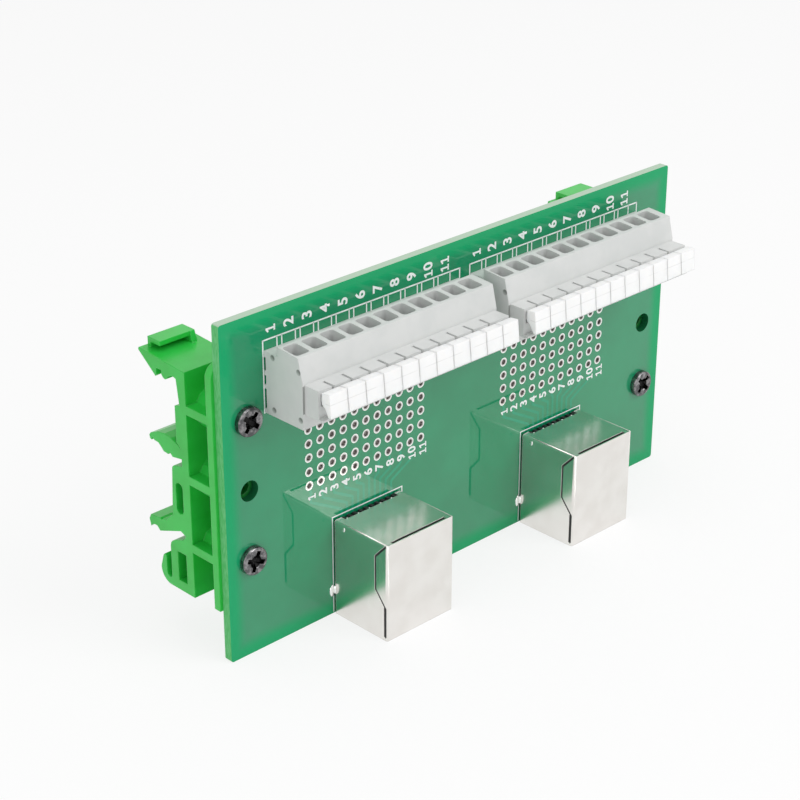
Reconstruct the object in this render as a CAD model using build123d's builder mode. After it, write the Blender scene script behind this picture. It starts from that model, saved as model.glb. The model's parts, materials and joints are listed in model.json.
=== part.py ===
"""DIN rail terminal adapter: two shielded ten-contact jacks wired to two rows of lever clamps.

Frame: millimetres, +X along the rail, +Y into the rail and the wall, +Z up.
The origin is on the rail's centre line, midway between the two feet, in the plane of
the rail's front flanges. The board stands in front of the rail, at negative Y.
"""
import os
from math import cos, radians, sin, tan

from build123d import *

os.makedirs("parts", exist_ok=True)

# Rail that the feet clip on: 35 mm wide top-hat section
rail_width = 35.0
rail_flange = 1.0
rail_clearance = 0.1

# Printed circuit board
board_width = 106.2
board_height = 59.7
board_thickness = 1.6
board_corner = 0.5
board_stand_off = 12.4
board_drop = 0.6
foot_screw_x = 48.1
foot_screw_pitch = 12.4
board_screw_hole = 3.6

# Patch field of plated holes between the clamps and the jacks
module_x = 22.86
pad_pitch = 2.54
pad_columns = 11
pad_rows = 5
pad_hole = 0.9
pad_bottom_z = -3.7

# Terminal block: one grey housing per row of eleven clamps
clamp_pitch = 3.81
clamp_count = 11
block_end_wall = 0.9
block_bottom_z = 12.5
block_height = 12.2
block_front_drop = 0.35
block_step_height = 10.6
block_step_out = 3.15
block_top_out = 7.9
block_depth = 8.9
block_slope_height = 7.9
block_back_relief = 0.35
block_back_gaps = ((0.8, 4.2), (4.9, 6.5), (7.3, 9.55))

# Ledge on the block's front that carries the levers, with a lip along its foot
ledge_depth = 3.15
ledge_bottom_height = 2.5
ledge_height = 5.05
ledge_end_step = 0.4
ledge_slot = 0.35
ledge_slot_depth = 0.7
ledge_slot_length = 1.6
ledge_slot_start = 0.9
ledge_slot_shift = 0.8
ledge_lip_reach = 0.9
ledge_lip_thickness = 0.4

# Wire entry and the cell under it, set off to the left of the lever that opens it
cell_shift = 0.6
entry_width = 2.8
entry_depth = 3.5
entry_out = 5.5
entry_funnel = 3.0
entry_corner = 0.9
cell_width = 2.6
cell_back = 1.2
cell_front = 7.8
cell_floor_height = 1.2

# Release lever
lever_width = 3.6
lever_height = 3.9
lever_rise = 0.1
lever_lean = 0.2
lever_relief = 1.9
lever_shoulder = 1.35
lever_front_out = 14.5
lever_back_out = 12.6
lever_shoulder_out = 13.3
lever_tip_out = 14.05
lever_neck_width = 2.4
lever_neck_drop = 0.35
lever_hub_radius = 0.85
lever_travel = 18.0
finger_reach = 2.9
finger_drop = 1.1
finger_thickness = 0.7
finger_slant = 0.2
finger_room = 0.25
running_clearance = 0.05
side_clearance = 0.25
pivot_out = 11.2
pivot_height = 6.1

# Contact bar and clamping spring of one cell
bar_thickness = 0.5
bar_width = 0.9
bar_out = 4.0
bar_top_gap = 0.6
spring_thickness = 0.3
spring_width = 2.0
spring_bend = 0.8
spring_height = 5.8
spring_gap = 0.4
spring_front_gap = 0.6
pin_proud = 1.4
pin_hole_clearance = 0.15
pin_rise = 2.0

# Shielded jack, mouth down at the board's lower edge
jack_width = 15.3
jack_height = 18.0
jack_depth = 13.0
shield_sheet = 0.25
shield_stand_off = 0.4
shield_seam = 0.22
sheet_bend = 0.4
flap_depth = 2.8
flap_top = 2.8
flap_length = 6.2
slit_length = 12.2
slit_width = 0.35
rear_notch_width = 12.2
rear_notch_depth = 1.0
lock_leg_width = 1.1
lock_leg_z = 4.4
lock_slot_width = 0.7
lock_slot_clearance = 0.2
lock_leg_start = 0.9
plug_width = 11.9
plug_height = 6.8
plug_depth = 13.0
plug_out = 4.5
latch_width = 6.4
latch_height = 2.2
jack_post = 3.0
jack_post_x = 5.7
jack_post_z = 8.0
jack_post_proud = 0.6

# Contacts of the jack
contact_count = 10
contact_pitch = 1.02
contact_wire = 0.35
contact_top_out = 12.0
contact_tip_out = 9.2
contact_jog_out = 2.2
contact_bend_height = 2.2
contact_tongue_rise = 6.0
contact_clearance = 0.3
contact_room_floor = 1.0
jack_pin_pitch = 1.27
jack_pin_row = 2.54
jack_pin_hole = 0.7
jack_pin_edge = 0.7

# Foot: one moulding that hooks over a 35 mm rail, or over a 32 mm rail by its inner claws
foot_width = 10.0
foot_shift = 0.6
plate_thickness = 1.4
plate_over_edge = 4.6
plate_under_edge = 3.7
plate_corner = 2.2
spine_front = -5.9
spine_back = -4.3
rib_thickness = 1.5
rib_shift = 0.8
boss_radius = 3.8
shelf_over_edge = 1.6
shelf_tip_y = 5.5
shelf_rise = 0.7
shelf_edge = 0.4
lip_depth = 1.4
lip_gap = 0.2
lip_point = 0.3
lip_nose = 0.6
foot_under_edge = 3.9
ear_thickness = 1.5
ear_depth = 1.4
ear_slot_depth = 1.9
ear_point = 0.4
ear_bulge = 1.0
tab_width = 7.0
tab_front = 1.9
tab_back = 5.0
tab_thickness = 0.8
tab_height = 2.3
tab_leg = 1.0
tab_toe = 0.8
flex_slot_length = 5.6
flex_slot_width = 1.8
flex_slot_centre = (-3.15, -4.1)
window_width = 2.2
window_height = 5.4
window_centre_y = -3.0
window_over_edge = 0.6

# Wave of the spine in front of the rail's upper edge: (Y, drop below the edge)
spine_wave = ((-0.1, 0.6), (-0.5, 1.05), (-1.0, 1.2), (-1.45, 0.95), (-1.75, 0.5), (-2.3, 0.15), (-3.0, 0.0), (-3.7, 0.2))

# Back of the spine with its two inner claws, (Y, Z) from above the upper claw to under the lower one
upper_claw = (
    (-4.3, 12.9), (-3.1, 12.5), (-3.1, 6.1), (-4.2, 5.1), (-3.2, 5.7), (-1.6, 6.25), (0.0, 6.5), (1.8, 6.2), (3.6, 5.4),
    (4.0, 4.9), (3.8, 4.3), (3.4, 4.2), (3.1, 4.75), (2.7, 4.35), (1.7, 4.3), (0.9, 3.7), (0.4, 3.2),
    (-0.8, 3.1), (-1.3, 3.5), (-1.9, 3.0), (-4.2, 3.4), (-4.2, 2.0),
)
lower_claw = (
    (-2.0, 1.5), (-1.6, 1.1), (-1.1, -7.7), (0.8, -9.6), (1.6, -9.6), (1.9, -10.0), (2.4, -9.7), (4.8, -10.0),
    (5.25, -10.9), (4.9, -12.2), (4.3, -11.6), (3.3, -11.5), (2.5, -12.2), (-3.0, -10.1), (-4.3, -10.6), (-3.7, -11.5),
    (-1.4, -12.4), (-0.7, -12.75), (-0.3, -13.2),
)

# Sides of the small pegs, pilots and bosses that repeat, and the small extra of a cut or a joint
peg_sides = 8
boss_sides = 16
cut_margin = 0.1
cut_overlap = 0.02

# Screws that hold the board on the feet
screw_head_radius = 2.7
screw_head_height = 1.6
screw_shank_radius = 1.2
screw_length = 7.0
screw_recess = 1.1
screw_recess_arm = 0.6
screw_recess_span = 2.9
pilot_clearance = 0.05
pilot_bottom = 0.3

# Planes and heights worked out from the sizes above
board_back_y = -board_stand_off
board_front_y = board_back_y - board_thickness
board_z = -board_drop
block_bottom = board_z + block_bottom_z
block_width = clamp_count * clamp_pitch + block_end_wall
jack_bottom = board_z - board_height / 2
jack_top = jack_bottom + jack_height
pivot_y = board_front_y - pivot_out
pivot_z = block_bottom + pivot_height
screw_rows = (board_z + foot_screw_pitch, board_z, board_z - foot_screw_pitch)
used_screw_rows = (screw_rows[0], screw_rows[2])
sides = (("left", -1), ("right", 1))
first_clamp = -(clamp_count - 1) / 2 * clamp_pitch
clamp_offsets = [first_clamp + clamp_pitch * place for place in range(clamp_count)]
cell_offsets = [offset - cell_shift for offset in clamp_offsets]
pin_z = block_bottom + pin_rise
pocket_width = lever_neck_width + 2 * side_clearance
hub_seat = lever_hub_radius + running_clearance
swing_room = (block_depth + ledge_depth - pivot_out) * sin(radians(lever_travel)) + 2 * running_clearance


def out(distance):
    """Y of a point this far in front of the board."""
    return board_front_y - distance


def keep(block, name):
    """Name a finished piece and write it."""
    block.part.label = name
    export_step(block.part, f"parts/{name}.step")


def jack_pin_places(centre_x):
    """Hole centres (X, Z) of one jack, two staggered rows, outer row first."""
    outer_z = jack_top - jack_pin_edge
    first = centre_x - (contact_count - 1) / 2 * jack_pin_pitch
    return [
        (first + jack_pin_pitch * place, outer_z - jack_pin_row * (place % 2))
        for place in range(contact_count)
    ]


def circuit_board():
    """Board with its screw holes, patch fields and the holes of every pin and peg."""
    with BuildPart() as board:
        with BuildSketch(Plane.XZ.offset(-board_back_y)) as outline:
            with Locations((0, board_z)):
                Rectangle(board_width, board_height)
            fillet(outline.vertices(), board_corner)
            with Locations(*[(x, z) for x in (-foot_screw_x, foot_screw_x) for z in screw_rows]):
                Circle(board_screw_hole / 2, mode=Mode.SUBTRACT)
            for _, side in sides:
                centre_x = side * module_x
                field_z = board_z + pad_bottom_z + (pad_rows - 1) / 2 * pad_pitch
                with Locations((centre_x, field_z)):
                    with GridLocations(pad_pitch, pad_pitch, pad_columns, pad_rows):
                        Rectangle(pad_hole, pad_hole, mode=Mode.SUBTRACT)
                with Locations(*[(centre_x + offset, pin_z) for offset in cell_offsets]):
                    Rectangle(
                        bar_width + 2 * pin_hole_clearance,
                        bar_thickness + 2 * pin_hole_clearance,
                        mode=Mode.SUBTRACT,
                    )
                with Locations(*jack_pin_places(centre_x)):
                    Rectangle(jack_pin_hole, jack_pin_hole, mode=Mode.SUBTRACT)
                with Locations((centre_x, jack_bottom + lock_leg_z)):
                    with GridLocations(jack_width - shield_sheet, 1, 2, 1):
                        Rectangle(lock_slot_width, lock_leg_width + 2 * lock_slot_clearance, mode=Mode.SUBTRACT)
                with Locations((centre_x, jack_bottom + jack_post_z)):
                    with GridLocations(2 * jack_post_x, 1, 2, 1):
                        RegularPolygon(jack_post / 2 + pilot_clearance, peg_sides, mode=Mode.SUBTRACT)
        extrude(amount=board_thickness)
    keep(board, "circuit_board")


def terminal_block(name, centre_x):
    """Grey housing: stepped body with funnels on top, cells inside and the lever ledge in front."""
    left = centre_x - block_width / 2
    top = block_bottom + block_height
    ledge_bottom = block_bottom + ledge_bottom_height
    ledge_top = ledge_bottom + ledge_height
    ledge_out = block_depth + ledge_depth
    cell_floor = block_bottom + cell_floor_height
    cell_top = top - entry_funnel
    with BuildPart() as block:
        with BuildSketch(Plane.YZ.offset(left)):
            with BuildLine():
                Polyline(
                    (out(0), block_bottom),
                    (out(block_depth), block_bottom),
                    (out(block_depth), block_bottom + block_slope_height),
                    (out(block_top_out), top - block_front_drop),
                    (out(block_step_out), top),
                    (out(block_step_out), block_bottom + block_step_height),
                    (out(0), block_bottom + block_step_height),
                    close=True,
                )
            make_face()
            # Gaps between the housing's back and the board
            for low, high in block_back_gaps:
                with Locations((out(block_back_relief / 2), block_bottom + (low + high) / 2)):
                    Rectangle(block_back_relief, high - low, mode=Mode.SUBTRACT)
        extrude(amount=block_width)
        # Ledge, a step shorter than the housing at both ends, and the lip along its foot
        with BuildSketch(Plane.YZ.offset(left + ledge_end_step)):
            with Locations((out(block_depth + ledge_depth / 2), ledge_bottom + ledge_height / 2)):
                Rectangle(ledge_depth, ledge_height)
            with Locations((out(ledge_out + ledge_lip_reach / 2), ledge_bottom + ledge_lip_thickness / 2)):
                Rectangle(ledge_lip_reach, ledge_lip_thickness)
        extrude(amount=block_width - 2 * ledge_end_step)
        # Cells, and the entries that lead a wire down into them
        with BuildSketch(Plane.XY.offset(cell_floor)):
            with Locations(*[(centre_x + offset, out((cell_back + cell_front) / 2)) for offset in cell_offsets]):
                Rectangle(cell_width, cell_front - cell_back)
        extrude(amount=cell_top - cell_floor, mode=Mode.SUBTRACT)
        with BuildSketch(Plane.XY.offset(top)) as mouths:
            with Locations(*[(centre_x + offset, out(entry_out)) for offset in cell_offsets]):
                Rectangle(entry_width, entry_depth)
            chamfer(mouths.vertices(), entry_corner)
        extrude(amount=-entry_funnel, mode=Mode.SUBTRACT)
        # Seats for the lever hubs, open in front, with windows for the fingers into the cells
        facet = hub_seat * tan(radians(22.5))
        window_end = out(cell_front - cut_margin)
        for offset in clamp_offsets:
            with BuildSketch(Plane.YZ.offset(centre_x + offset - pocket_width / 2)):
                with BuildLine():
                    Polyline(
                        (out(ledge_out), pivot_z + hub_seat),
                        (pivot_y + facet, pivot_z + hub_seat),
                        (pivot_y + hub_seat, pivot_z + facet),
                        (window_end, pivot_z + facet),
                        (window_end, pivot_z - finger_drop - finger_thickness - finger_room),
                        (pivot_y + finger_reach / 2, pivot_z - finger_drop - finger_thickness - finger_room),
                        (pivot_y, pivot_z - hub_seat - swing_room),
                        (out(ledge_out), pivot_z - hub_seat - swing_room),
                        close=True,
                    )
                make_face()
            extrude(amount=pocket_width, mode=Mode.SUBTRACT)
        # Slots in the ledge between neighbouring clamps, over its top and down its front
        gaps = [centre_x + offset + clamp_pitch / 2 - ledge_slot_shift for offset in clamp_offsets[:-1]]
        slot_start = block_depth + ledge_slot_start
        with BuildSketch(Plane.XY.offset(ledge_top)):
            with Locations(*[(x, out((slot_start + ledge_out) / 2)) for x in gaps]):
                Rectangle(ledge_slot, ledge_out - slot_start)
        extrude(amount=-ledge_slot_depth, mode=Mode.SUBTRACT)
        with BuildSketch(Plane.XZ.offset(-out(ledge_out))):
            with Locations(*[(x, ledge_top - ledge_slot_length / 2) for x in gaps]):
                Rectangle(ledge_slot, ledge_slot_length)
        extrude(amount=-ledge_slot_depth, mode=Mode.SUBTRACT)
        # Pin holes in the back wall
        with BuildSketch(Plane.XZ.offset(-out(0))):
            with Locations(*[(centre_x + offset, pin_z) for offset in cell_offsets]):
                Rectangle(bar_width + 2 * pin_hole_clearance, bar_thickness + 2 * pin_hole_clearance)
        extrude(amount=cell_back + cut_margin, mode=Mode.SUBTRACT)
    keep(block, name)


def lever(name, x):
    """White release lever: leaning front plate, half-round hub, finger into the cell."""
    top = block_bottom + ledge_bottom_height + ledge_height + lever_rise
    bottom = top - lever_height
    with BuildPart() as button:
        with BuildSketch(Plane.YZ.offset(x - lever_width / 2)):
            with BuildLine():
                Polyline(
                    (out(lever_back_out), top - lever_lean),
                    (out(lever_front_out - lever_lean), top),
                    (out(lever_front_out), top - lever_height / 2),
                    (out(lever_front_out + lever_lean), bottom),
                    (out(lever_tip_out), bottom),
                    (out(lever_shoulder_out), bottom + lever_shoulder),
                    (out(lever_back_out), bottom + lever_relief),
                    close=True,
                )
            make_face()
        extrude(amount=lever_width)
        # Neck, hub and finger in one rib behind the plate
        hub = [
            (pivot_y + lever_hub_radius * sin(radians(angle)), pivot_z + lever_hub_radius * cos(radians(angle)))
            for angle in (0, 45, 90)
        ]
        with BuildSketch(Plane.YZ.offset(x - lever_neck_width / 2)):
            with BuildLine():
                Polyline(
                    (out(lever_back_out + cut_margin), pivot_z + lever_hub_radius),
                    *hub,
                    (pivot_y + finger_reach, pivot_z - finger_drop),
                    (pivot_y + finger_reach - finger_slant, pivot_z - finger_drop - finger_thickness),
                    (pivot_y, pivot_z - lever_hub_radius),
                    (out(lever_back_out + cut_margin), pivot_z - lever_neck_drop),
                    close=True,
                )
            make_face()
        extrude(amount=lever_neck_width)
    keep(button, name)


def contact_bars(name, centre_x):
    """Eleven bent contact bars, each ending in the pin that is soldered into the board."""
    low = pin_z - bar_thickness / 2
    high = block_bottom + block_height - entry_funnel - bar_top_gap
    with BuildPart() as bars:
        for offset in cell_offsets:
            with BuildSketch(Plane.YZ.offset(centre_x + offset - bar_width / 2)):
                with BuildLine():
                    Polyline(
                        (out(-board_thickness - pin_proud), low),
                        (out(bar_out + bar_thickness), low),
                        (out(bar_out + bar_thickness), high),
                        (out(bar_out), high),
                        (out(bar_out), low + bar_thickness),
                        (out(-board_thickness - pin_proud), low + bar_thickness),
                        close=True,
                    )
                make_face()
            extrude(amount=bar_width)
    keep(bars, name)


def clamp_springs(name, centre_x):
    """Eleven leaf springs that press the wire against its contact bar."""
    floor = block_bottom + cell_floor_height + spring_thickness
    foot_out = bar_out + bar_thickness + spring_gap
    bend_out = cell_front - spring_front_gap
    with BuildPart() as springs:
        for offset in cell_offsets:
            with BuildSketch(Plane.YZ.offset(centre_x + offset - spring_width / 2)):
                with BuildLine():
                    Polyline(
                        (out(foot_out), floor),
                        (out(bend_out), floor + spring_bend),
                        (out(foot_out), floor + spring_height),
                    )
                trace(line_width=spring_thickness)
            extrude(amount=spring_width)
    keep(springs, name)


def jack_shield(name, centre_x):
    """Nickel-plated shell folded from thin sheet: front, sides, rear, mouth frame and two legs."""
    middle_z = (jack_bottom + jack_top) / 2
    with BuildPart() as shield:
        with BuildSketch(Plane.XZ.offset(-out(jack_depth))):
            with Locations((centre_x, middle_z)):
                Rectangle(jack_width, jack_height)
        extrude(amount=-(jack_depth - shield_stand_off))
        front_corners = shield.edges().filter_by(Axis.Z).group_by(Axis.Y)[0]
        roof_corners = shield.edges().filter_by(Axis.Y).group_by(Axis.Z)[-1]
        fillet(front_corners + roof_corners, sheet_bend)
        # Hollow, open towards the board
        with BuildSketch(Plane.XZ.offset(-out(jack_depth - shield_sheet))):
            with Locations((centre_x, middle_z)):
                Rectangle(jack_width - 2 * shield_sheet, jack_height - 2 * shield_sheet)
        extrude(amount=-jack_depth, mode=Mode.SUBTRACT)
        # Mouth for the plug and its latch
        with BuildSketch(Plane.XY.offset(jack_bottom)):
            plug_mouth(centre_x)
        extrude(amount=shield_sheet, mode=Mode.SUBTRACT)
        # Notch over the contact pins, and the slit between rear and front plates
        with BuildSketch(Plane.XY.offset(jack_top)):
            with Locations((centre_x, out(shield_stand_off + rear_notch_depth / 2))):
                Rectangle(rear_notch_width, rear_notch_depth)
            with Locations((centre_x, out(jack_depth - shield_sheet - slit_width / 2))):
                Rectangle(slit_length, slit_width)
        extrude(amount=-shield_sheet, mode=Mode.SUBTRACT)
        # Seam round the front plate's side flaps, through both sides
        seam_top = jack_top - shield_sheet
        flap_out = jack_depth - flap_depth
        seam_out = jack_depth - shield_sheet - shield_seam
        with BuildSketch(Plane.YZ.offset(centre_x - jack_width)):
            with BuildLine():
                Polyline(
                    (out(seam_out), seam_top),
                    (out(flap_out), jack_top - flap_top),
                    (out(flap_out), jack_top - flap_top - flap_length),
                    (out(seam_out), jack_top - flap_top - flap_length - flap_top),
                    (out(seam_out), jack_bottom + 2 * shield_sheet),
                )
            trace(line_width=shield_seam)
        extrude(amount=2 * jack_width, mode=Mode.SUBTRACT)
        # Legs soldered into the board
        with BuildSketch(Plane.XZ.offset(-out(lock_leg_start))):
            with Locations((centre_x, jack_bottom + lock_leg_z)):
                with GridLocations(jack_width - shield_sheet, 1, 2, 1):
                    Rectangle(shield_sheet, lock_leg_width)
        extrude(amount=-(lock_leg_start + board_thickness + pin_proud))
    keep(shield, name)


def plug_mouth(centre_x):
    """Outline of the plug and, on the board's side, of its latch."""
    with Locations((centre_x, out(plug_out + plug_height / 2))):
        Rectangle(plug_width, plug_height)
    with Locations((centre_x, out(plug_out - latch_height / 2))):
        Rectangle(latch_width, latch_height + cut_overlap)


def jack_body(name, centre_x):
    """Black insulator inside the shield, with the plug's cavity and the room for the contacts."""
    floor = jack_bottom + shield_sheet
    roof = jack_top - shield_sheet
    top_out = plug_out + plug_height
    contact_room = (contact_count - 1) * contact_pitch + contact_wire + 2 * contact_clearance
    pin_room = (contact_count - 1) * jack_pin_pitch + contact_wire + 2 * contact_clearance
    room_depth = jack_pin_edge + jack_pin_row + contact_wire / 2 + contact_clearance
    room_out = contact_top_out + contact_wire / 2 + contact_clearance / 2
    with BuildPart() as body:
        with BuildSketch(Plane.XZ.offset(-out(jack_depth - shield_sheet))):
            with Locations((centre_x, (floor + roof) / 2)):
                Rectangle(jack_width - 2 * shield_sheet, roof - floor)
        extrude(amount=-(jack_depth - shield_sheet))
        with BuildSketch(Plane.XY.offset(floor)):
            plug_mouth(centre_x)
        extrude(amount=plug_depth, mode=Mode.SUBTRACT)
        # Room for the contacts above the plug, open to the cavity
        with BuildSketch(Plane.XY.offset(floor + contact_room_floor)):
            with Locations((centre_x, out((top_out + room_out) / 2))):
                Rectangle(contact_room, room_out - top_out + 2 * cut_overlap)
        extrude(amount=jack_height, mode=Mode.SUBTRACT)
        # Room behind the cavity where the contacts run down to the board
        with BuildSketch(Plane.XY.offset(jack_top - room_depth)):
            with Locations((centre_x, out(room_out / 2))):
                Rectangle(pin_room, room_out)
        extrude(amount=room_depth, mode=Mode.SUBTRACT)
        # Pegs that locate the jack in the board
        with BuildSketch(Plane.XZ.offset(-out(0))):
            with Locations((centre_x, jack_bottom + jack_post_z)):
                with GridLocations(2 * jack_post_x, 1, 2, 1):
                    RegularPolygon(jack_post / 2, peg_sides)
        extrude(amount=-(board_thickness + jack_post_proud))
    keep(body, name)


def jack_contacts(name, centre_x):
    """Ten sprung wires: a sloping tongue in the cavity, a run to the rear and a pin into the board."""
    first = centre_x - (contact_count - 1) / 2 * contact_pitch
    bend_z = jack_bottom + contact_bend_height
    with BuildPart() as wires:
        for place, (pin_x, pin_row_z) in enumerate(jack_pin_places(centre_x)):
            x = first + contact_pitch * place
            with BuildSketch(Plane.YZ.offset(x - contact_wire / 2)):
                with BuildLine():
                    Polyline(
                        (out(contact_tip_out), bend_z + contact_tongue_rise),
                        (out(contact_top_out), bend_z),
                        (out(contact_top_out), pin_row_z),
                        (out(contact_jog_out), pin_row_z),
                    )
                trace(line_width=contact_wire)
            extrude(amount=contact_wire)
            low_x, high_x = sorted((x, pin_x))
            with BuildSketch(Plane.XZ.offset(-out(contact_jog_out + contact_wire / 2))):
                with Locations(((low_x + high_x) / 2, pin_row_z)):
                    Rectangle(high_x - low_x + contact_wire, contact_wire)
            extrude(amount=-contact_wire)
            with BuildSketch(Plane.XZ.offset(-out(contact_jog_out))):
                with Locations((pin_x, pin_row_z)):
                    Rectangle(contact_wire, contact_wire)
            extrude(amount=-(contact_jog_out + board_thickness + pin_proud))
    keep(wires, name)


def rail_foot(name, screw_x):
    """Green foot: plate with bosses, ribs, and the spine with its hooks, extruded along the rail."""
    left = screw_x - foot_width / 2 - foot_shift
    rail_edge = rail_width / 2
    flange_top = rail_edge + rail_clearance
    flange_back = rail_flange + lip_gap
    plate_back = board_back_y + plate_thickness
    plate_top = rail_edge + plate_over_edge
    plate_bottom = -rail_edge - plate_under_edge
    shelf_top = rail_edge + shelf_over_edge
    lip_bottom = rail_edge - lip_depth
    foot_bottom = -rail_edge - foot_under_edge
    ear_slot_z = -rail_edge - ear_slot_depth
    ear_tip = -rail_edge + ear_depth
    slot_middle = (flange_back - rail_clearance) / 2
    with BuildPart() as foot:
        with BuildSketch(Plane.YZ.offset(left)):
            with BuildLine():
                # Front of the spine, shelf over the rail, lip behind the rail's upper edge, back of the spine
                Polyline(
                    (spine_front, foot_bottom),
                    (spine_front, shelf_top),
                    (shelf_tip_y, shelf_top + shelf_rise),
                    (shelf_tip_y + cut_margin, shelf_top + shelf_rise - shelf_edge),
                    (flange_back + lip_nose, lip_bottom + lip_point),
                    (flange_back + lip_nose / 2, lip_bottom),
                    (flange_back, lip_bottom + lip_point),
                    (flange_back, flange_top),
                    (-rail_clearance, flange_top),
                    *[(y, rail_edge - drop) for y, drop in spine_wave],
                    *upper_claw,
                    *lower_claw,
                    (-rail_clearance, lower_claw[-1][1] - lip_nose),
                    (-rail_clearance, ear_slot_z),
                )
                # Slot for the rail's lower edge, and the ear that hooks behind it
                ThreePointArc(
                    (-rail_clearance, ear_slot_z),
                    (slot_middle, ear_slot_z - slot_middle - rail_clearance),
                    (flange_back, ear_slot_z),
                )
                Polyline(
                    (flange_back, ear_slot_z),
                    (flange_back, ear_tip - ear_point),
                    (flange_back + ear_point, ear_tip),
                    (flange_back + 2 * ear_point, ear_tip - ear_point),
                    (flange_back + ear_thickness, ear_slot_z + lip_nose),
                )
                ThreePointArc(
                    (flange_back + ear_thickness, ear_slot_z + lip_nose),
                    (flange_back + ear_bulge, foot_bottom + ear_bulge),
                    (slot_middle - cut_margin, foot_bottom),
                )
                Line((slot_middle - cut_margin, foot_bottom), (spine_front, foot_bottom))
            make_face()
            # Slot and window that let the lower half flex
            with Locations(flex_slot_centre):
                SlotOverall(flex_slot_length, flex_slot_width, rotation=90, mode=Mode.SUBTRACT)
            with Locations((window_centre_y, -rail_edge + window_over_edge)):
                Rectangle(window_width, window_height, mode=Mode.SUBTRACT)
            # Plate against the board, and the ribs that join it to the spine
            with Locations(((board_back_y + plate_back) / 2, (plate_top + plate_bottom) / 2)):
                Rectangle(plate_thickness, plate_top - plate_bottom)
            for row_z in screw_rows:
                with Locations(((plate_back + spine_front) / 2, row_z + rib_shift)):
                    Rectangle(spine_front - plate_back, rib_thickness)
        extrude(amount=foot_width)
        plate_corners = foot.edges().filter_by(Axis.Y).group_by(Axis.Z)
        fillet(plate_corners[-1], plate_corner)
        # Bosses behind the plate, one for each screw hole of the board
        with BuildSketch(Plane.XZ.offset(-plate_back)):
            with Locations(*[(screw_x, row_z) for row_z in screw_rows]):
                RegularPolygon(boss_radius, boss_sides)
        extrude(amount=-(spine_front - plate_back))
        with BuildSketch(Plane.XZ.offset(-board_back_y)):
            with Locations(*[(screw_x, row_z) for row_z in screw_rows]):
                RegularPolygon(screw_shank_radius + pilot_clearance, peg_sides)
        extrude(amount=-(screw_length - board_thickness + pilot_bottom), mode=Mode.SUBTRACT)
        # Grip on the shelf, open in front for a screwdriver
        tab_left = left + (foot_width - tab_width) / 2
        tab_top = shelf_top + tab_height
        with BuildSketch(Plane.YZ.offset(tab_left)):
            with BuildLine():
                Polyline(
                    (tab_front, tab_top),
                    (tab_back, tab_top),
                    (tab_back, shelf_top),
                    (tab_back - tab_thickness, shelf_top),
                    (tab_back - tab_thickness, tab_top - tab_thickness),
                    (tab_front, tab_top - tab_thickness),
                    close=True,
                )
            make_face()
        extrude(amount=tab_width)
        with BuildSketch(Plane.YZ.offset(tab_left + tab_width - tab_leg)):
            with BuildLine():
                Polyline(
                    (tab_front, tab_top),
                    (tab_back, tab_top),
                    (tab_back, shelf_top),
                    (tab_front - tab_toe, shelf_top),
                    close=True,
                )
            make_face()
        extrude(amount=tab_leg)
    keep(foot, name)


def board_screw(name, x, z):
    """Pan-head screw with a cross recess, through the board into the foot's boss."""
    with BuildPart() as screw:
        with BuildSketch(Plane.XZ.offset(-out(0))):
            with Locations((x, z)):
                Circle(screw_head_radius)
        extrude(amount=screw_head_height)
        with BuildSketch(Plane.XZ.offset(-out(0))):
            with Locations((x, z)):
                RegularPolygon(screw_shank_radius, peg_sides)
        extrude(amount=-screw_length)
        with BuildSketch(Plane.XZ.offset(-out(screw_head_height))):
            with Locations((x, z)):
                Rectangle(screw_recess_span, screw_recess_arm)
                Rectangle(screw_recess_arm, screw_recess_span)
        extrude(amount=-screw_recess, mode=Mode.SUBTRACT)
    keep(screw, name)


circuit_board()
for side_name, side in sides:
    centre = side * module_x
    terminal_block(f"terminal_block_{side_name}", centre)
    for number, offset in enumerate(clamp_offsets, start=1):
        lever(f"lever_{side_name}_{number:02d}", centre + offset)
    contact_bars(f"contact_bars_{side_name}", centre)
    clamp_springs(f"clamp_springs_{side_name}", centre)
    jack_shield(f"jack_shield_{side_name}", centre)
    jack_body(f"jack_body_{side_name}", centre)
    jack_contacts(f"jack_contacts_{side_name}", centre)
    rail_foot(f"rail_foot_{side_name}", side * foot_screw_x)
    for row_name, row_z in zip(("top", "bottom"), used_screw_rows):
        board_screw(f"screw_{side_name}_{row_name}", side * foot_screw_x, row_z)
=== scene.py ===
"""Looks of a rail-mounted adapter board: two shielded jacks, two rows of lever clamps, green feet.

Everything is in metres in the model's own frame: +X along the rail, +Y into the rail, +Z up.
Sizes below are written in millimetres and multiplied by MM where they are used.
"""

import json
import math

import bpy
from mathutils import Matrix, Vector

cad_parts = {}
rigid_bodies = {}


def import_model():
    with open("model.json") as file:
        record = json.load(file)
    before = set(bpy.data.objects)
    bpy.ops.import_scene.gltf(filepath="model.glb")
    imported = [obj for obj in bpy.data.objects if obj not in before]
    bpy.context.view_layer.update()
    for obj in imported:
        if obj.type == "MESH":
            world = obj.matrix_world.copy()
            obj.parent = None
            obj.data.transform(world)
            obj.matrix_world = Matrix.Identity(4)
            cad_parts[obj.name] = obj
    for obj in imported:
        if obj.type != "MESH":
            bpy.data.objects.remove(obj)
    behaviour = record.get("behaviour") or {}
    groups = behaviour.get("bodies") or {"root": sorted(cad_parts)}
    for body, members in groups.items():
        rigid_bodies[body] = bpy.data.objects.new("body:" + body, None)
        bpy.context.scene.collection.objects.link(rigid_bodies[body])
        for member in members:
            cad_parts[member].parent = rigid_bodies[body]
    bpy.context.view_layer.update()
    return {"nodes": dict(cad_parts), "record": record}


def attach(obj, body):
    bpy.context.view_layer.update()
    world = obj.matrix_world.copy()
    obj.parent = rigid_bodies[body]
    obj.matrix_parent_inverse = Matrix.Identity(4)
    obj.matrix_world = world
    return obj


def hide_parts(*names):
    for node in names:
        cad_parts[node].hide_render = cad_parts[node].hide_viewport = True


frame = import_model()

MM = 0.001

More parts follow.
